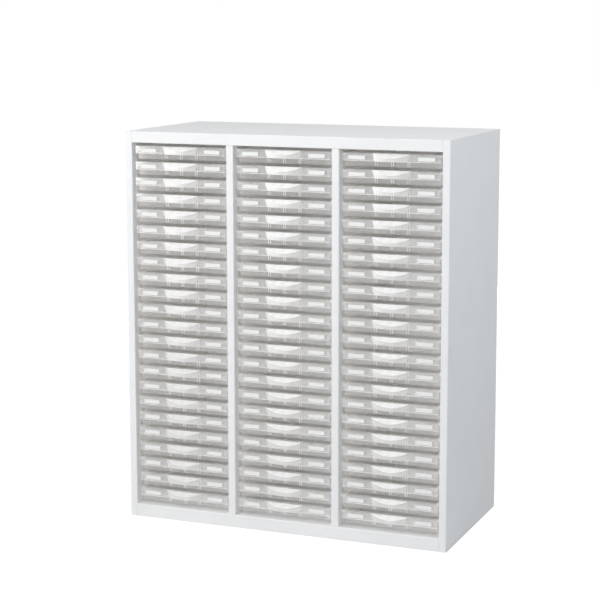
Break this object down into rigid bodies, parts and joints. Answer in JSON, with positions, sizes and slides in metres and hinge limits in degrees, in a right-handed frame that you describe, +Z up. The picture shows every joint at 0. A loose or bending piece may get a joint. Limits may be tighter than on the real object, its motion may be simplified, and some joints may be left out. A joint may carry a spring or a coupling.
{
  "type": "document tray cabinet",
  "caption": "Floor-standing steel cabinet with three bays of shallow clear slide-out trays for paper, each with a bowed finger pull.",
  "frame": {"origin": "centre of the footprint, on the floor", "axes": "+X to the right seen from the front, +Y to the back, +Z up; trays slide out along -Y"},
  "size_m": [0.9, 0.45, 1.05],
  "materials": {
    "painted_steel": "white powder coat, fine texture, satin",
    "clear_tray": "clear moulded polystyrene, slightly grey",
    "rail_plastic": "light grey moulded plastic",
    "label_card": "matt white card, for the label cards that a scene adds",
    "zinc_steel": "zinc plated"
  },
  "bodies": {
    "cabinet": {"back_panel": "painted_steel", "base_panel": "painted_steel", "corner_plates": "zinc_steel", "divider_left": "painted_steel", "divider_right": "painted_steel", "rail_plates_left_hand": "rail_plastic", "rail_plates_right_hand": "rail_plastic", "side_panel_left": "painted_steel", "side_panel_right": "painted_steel", "top_panel": "painted_steel"},
    "tray_left_01": {"tray_left_01": "clear_tray"},
    "tray_left_02": {"tray_left_02": "clear_tray"},
    "tray_left_03": {"tray_left_03": "clear_tray"},
    "tray_left_04": {"tray_left_04": "clear_tray"},
    "tray_left_05": {"tray_left_05": "clear_tray"},
    "tray_left_06": {"tray_left_06": "clear_tray"},
    "tray_left_07": {"tray_left_07": "clear_tray"},
    "tray_left_08": {"tray_left_08": "clear_tray"},
    "tray_left_09": {"tray_left_09": "clear_tray"},
    "tray_left_10": {"tray_left_10": "clear_tray"},
    "tray_left_11": {"tray_left_11": "clear_tray"},
    "tray_middle_01": {"tray_middle_01": "clear_tray"},
    "tray_middle_02": {"tray_middle_02": "clear_tray"},
    "tray_middle_03": {"tray_middle_03": "clear_tray"},
    "tray_middle_04": {"tray_middle_04": "clear_tray"},
    "tray_middle_05": {"tray_middle_05": "clear_tray"},
    "tray_middle_06": {"tray_middle_06": "clear_tray"},
    "tray_middle_07": {"tray_middle_07": "clear_tray"},
    "tray_middle_08": {"tray_middle_08": "clear_tray"},
    "tray_middle_09": {"tray_middle_09": "clear_tray"},
    "tray_right_01": {"tray_right_01": "clear_tray"},
    "tray_right_02": {"tray_right_02": "clear_tray"},
    "tray_right_03": {"tray_right_03": "clear_tray"},
    "tray_right_04": {"tray_right_04": "clear_tray"},
    "tray_right_05": {"tray_right_05": "clear_tray"},
    "tray_right_06": {"tray_right_06": "clear_tray"},
    "tray_right_07": {"tray_right_07": "clear_tray"},
    "tray_right_08": {"tray_right_08": "clear_tray"},
    "tray_right_09": {"tray_right_09": "clear_tray"},
    "tray_right_10": {"tray_right_10": "clear_tray"},
    "tray_right_11": {"tray_right_11": "clear_tray"},
    "trays_left_12_13": {"trays_left_12_13": "clear_tray"},
    "trays_left_14_15": {"trays_left_14_15": "clear_tray"},
    "trays_left_16_17": {"trays_left_16_17": "clear_tray"},
    "trays_left_18_19": {"trays_left_18_19": "clear_tray"},
    "trays_left_20_21": {"trays_left_20_21": "clear_tray"},
    "trays_left_22_23": {"trays_left_22_23": "clear_tray"},
    "trays_middle_10_11": {"trays_middle_10_11": "clear_tray"},
    "trays_middle_12_13": {"trays_middle_12_13": "clear_tray"},
    "trays_middle_14_15": {"trays_middle_14_15": "clear_tray"},
    "trays_middle_16_17": {"trays_middle_16_17": "clear_tray"},
    "trays_middle_18_19": {"trays_middle_18_19": "clear_tray"},
    "trays_middle_20_21": {"trays_middle_20_21": "clear_tray"},
    "trays_middle_22_23": {"trays_middle_22_23": "clear_tray"},
    "trays_right_12_13": {"trays_right_12_13": "clear_tray"},
    "trays_right_14_15": {"trays_right_14_15": "clear_tray"},
    "trays_right_16_17": {"trays_right_16_17": "clear_tray"},
    "trays_right_18_19": {"trays_right_18_19": "clear_tray"},
    "trays_right_20_21": {"trays_right_20_21": "clear_tray"},
    "trays_right_22_23": {"trays_right_22_23": "clear_tray"}
  },
  "joints": [
    {"name": "slide_left_01", "type": "slide", "parent": "cabinet", "child": "tray_left_01", "axis": [0, -1, 0], "range_m": [0, 0.27]},
    {"name": "slide_left_02", "type": "slide", "parent": "cabinet", "child": "tray_left_02", "axis": [0, -1, 0], "range_m": [0, 0.27]},
    {"name": "slide_left_03", "type": "slide", "parent": "cabinet", "child": "tray_left_03", "axis": [0, -1, 0], "range_m": [0, 0.27]},
    {"name": "slide_left_04", "type": "slide", "parent": "cabinet", "child": "tray_left_04", "axis": [0, -1, 0], "range_m": [0, 0.27]},
    {"name": "slide_left_05", "type": "slide", "parent": "cabinet", "child": "tray_left_05", "axis": [0, -1, 0], "range_m": [0, 0.27]},
    {"name": "slide_left_06", "type": "slide", "parent": "cabinet", "child": "tray_left_06", "axis": [0, -1, 0], "range_m": [0, 0.27]},
    {"name": "slide_left_07", "type": "slide", "parent": "cabinet", "child": "tray_left_07", "axis": [0, -1, 0], "range_m": [0, 0.27]},
    {"name": "slide_left_08", "type": "slide", "parent": "cabinet", "child": "tray_left_08", "axis": [0, -1, 0], "range_m": [0, 0.27]},
    {"name": "slide_left_09", "type": "slide", "parent": "cabinet", "child": "tray_left_09", "axis": [0, -1, 0], "range_m": [0, 0.27]},
    {"name": "slide_left_10", "type": "slide", "parent": "cabinet", "child": "tray_left_10", "axis": [0, -1, 0], "range_m": [0, 0.27]},
    {"name": "slide_left_11", "type": "slide", "parent": "cabinet", "child": "tray_left_11", "axis": [0, -1, 0], "range_m": [0, 0.27]},
    {"name": "slide_middle_01", "type": "slide", "parent": "cabinet", "child": "tray_middle_01", "axis": [0, -1, 0], "range_m": [0, 0.27]},
    {"name": "slide_middle_02", "type": "slide", "parent": "cabinet", "child": "tray_middle_02", "axis": [0, -1, 0], "range_m": [0, 0.27]},
    {"name": "slide_middle_03", "type": "slide", "parent": "cabinet", "child": "tray_middle_03", "axis": [0, -1, 0], "range_m": [0, 0.27]},
    {"name": "slide_middle_04", "type": "slide", "parent": "cabinet", "child": "tray_middle_04", "axis": [0, -1, 0], "range_m": [0, 0.27]},
    {"name": "slide_middle_05", "type": "slide", "parent": "cabinet", "child": "tray_middle_05", "axis": [0, -1, 0], "range_m": [0, 0.27]},
    {"name": "slide_middle_06", "type": "slide", "parent": "cabinet", "child": "tray_middle_06", "axis": [0, -1, 0], "range_m": [0, 0.27]},
    {"name": "slide_middle_07", "type": "slide", "parent": "cabinet", "child": "tray_middle_07", "axis": [0, -1, 0], "range_m": [0, 0.27]},
    {"name": "slide_middle_08", "type": "slide", "parent": "cabinet", "child": "tray_middle_08", "axis": [0, -1, 0], "range_m": [0, 0.27]},
    {"name": "slide_middle_09", "type": "slide", "parent": "cabinet", "child": "tray_middle_09", "axis": [0, -1, 0], "range_m": [0, 0.27]},
    {"name": "slide_right_01", "type": "slide", "parent": "cabinet", "child": "tray_right_01", "axis": [0, -1, 0], "range_m": [0, 0.27]},
    {"name": "slide_right_02", "type": "slide", "parent": "cabinet", "child": "tray_right_02", "axis": [0, -1, 0], "range_m": [0, 0.27]},
    {"name": "slide_right_03", "type": "slide", "parent": "cabinet", "child": "tray_right_03", "axis": [0, -1, 0], "range_m": [0, 0.27]},
    {"name": "slide_right_04", "type": "slide", "parent": "cabinet", "child": "tray_right_04", "axis": [0, -1, 0], "range_m": [0, 0.27]},
    {"name": "slide_right_05", "type": "slide", "parent": "cabinet", "child": "tray_right_05", "axis": [0, -1, 0], "range_m": [0, 0.27]},
    {"name": "slide_right_06", "type": "slide", "parent": "cabinet", "child": "tray_right_06", "axis": [0, -1, 0], "range_m": [0, 0.27]},
    {"name": "slide_right_07", "type": "slide", "parent": "cabinet", "child": "tray_right_07", "axis": [0, -1, 0], "range_m": [0, 0.27]},
    {"name": "slide_right_08", "type": "slide", "parent": "cabinet", "child": "tray_right_08", "axis": [0, -1, 0], "range_m": [0, 0.27]},
    {"name": "slide_right_09", "type": "slide", "parent": "cabinet", "child": "tray_right_09", "axis": [0, -1, 0], "range_m": [0, 0.27]},
    {"name": "slide_right_10", "type": "slide", "parent": "cabinet", "child": "tray_right_10", "axis": [0, -1, 0], "range_m": [0, 0.27]},
    {"name": "slide_right_11", "type": "slide", "parent": "cabinet", "child": "tray_right_11", "axis": [0, -1, 0], "range_m": [0, 0.27]},
    {"name": "slide_left_12_13", "type": "slide", "parent": "cabinet", "child": "trays_left_12_13", "axis": [0, -1, 0], "range_m": [0, 0.27]},
    {"name": "slide_left_14_15", "type": "slide", "parent": "cabinet", "child": "trays_left_14_15", "axis": [0, -1, 0], "range_m": [0, 0.27]},
    {"name": "slide_left_16_17", "type": "slide", "parent": "cabinet", "child": "trays_left_16_17", "axis": [0, -1, 0], "range_m": [0, 0.27]},
    {"name": "slide_left_18_19", "type": "slide", "parent": "cabinet", "child": "trays_left_18_19", "axis": [0, -1, 0], "range_m": [0, 0.27]},
    {"name": "slide_left_20_21", "type": "slide", "parent": "cabinet", "child": "trays_left_20_21", "axis": [0, -1, 0], "range_m": [0, 0.27]},
    {"name": "slide_left_22_23", "type": "slide", "parent": "cabinet", "child": "trays_left_22_23", "axis": [0, -1, 0], "range_m": [0, 0.27]},
    {"name": "slide_middle_10_11", "type": "slide", "parent": "cabinet", "child": "trays_middle_10_11", "axis": [0, -1, 0], "range_m": [0, 0.27]},
    {"name": "slide_middle_12_13", "type": "slide", "parent": "cabinet", "child": "trays_middle_12_13", "axis": [0, -1, 0], "range_m": [0, 0.27]},
    {"name": "slide_middle_14_15", "type": "slide", "parent": "cabinet", "child": "trays_middle_14_15", "axis": [0, -1, 0], "range_m": [0, 0.27]},
    {"name": "slide_middle_16_17", "type": "slide", "parent": "cabinet", "child": "trays_middle_16_17", "axis": [0, -1, 0], "range_m": [0, 0.27]},
    {"name": "slide_middle_18_19", "type": "slide", "parent": "cabinet", "child": "trays_middle_18_19", "axis": [0, -1, 0], "range_m": [0, 0.27]},
    {"name": "slide_middle_20_21", "type": "slide", "parent": "cabinet", "child": "trays_middle_20_21", "axis": [0, -1, 0], "range_m": [0, 0.27]},
    {"name": "slide_middle_22_23", "type": "slide", "parent": "cabinet", "child": "trays_middle_22_23", "axis": [0, -1, 0], "range_m": [0, 0.27]},
    {"name": "slide_right_12_13", "type": "slide", "parent": "cabinet", "child": "trays_right_12_13", "axis": [0, -1, 0], "range_m": [0, 0.27]},
    {"name": "slide_right_14_15", "type": "slide", "parent": "cabinet", "child": "trays_right_14_15", "axis": [0, -1, 0], "range_m": [0, 0.27]},
    {"name": "slide_right_16_17", "type": "slide", "parent": "cabinet", "child": "trays_right_16_17", "axis": [0, -1, 0], "range_m": [0, 0.27]},
    {"name": "slide_right_18_19", "type": "slide", "parent": "cabinet", "child": "trays_right_18_19", "axis": [0, -1, 0], "range_m": [0, 0.27]},
    {"name": "slide_right_20_21", "type": "slide", "parent": "cabinet", "child": "trays_right_20_21", "axis": [0, -1, 0], "range_m": [0, 0.27]},
    {"name": "slide_right_22_23", "type": "slide", "parent": "cabinet", "child": "trays_right_22_23", "axis": [0, -1, 0], "range_m": [0, 0.27]}
  ]
}
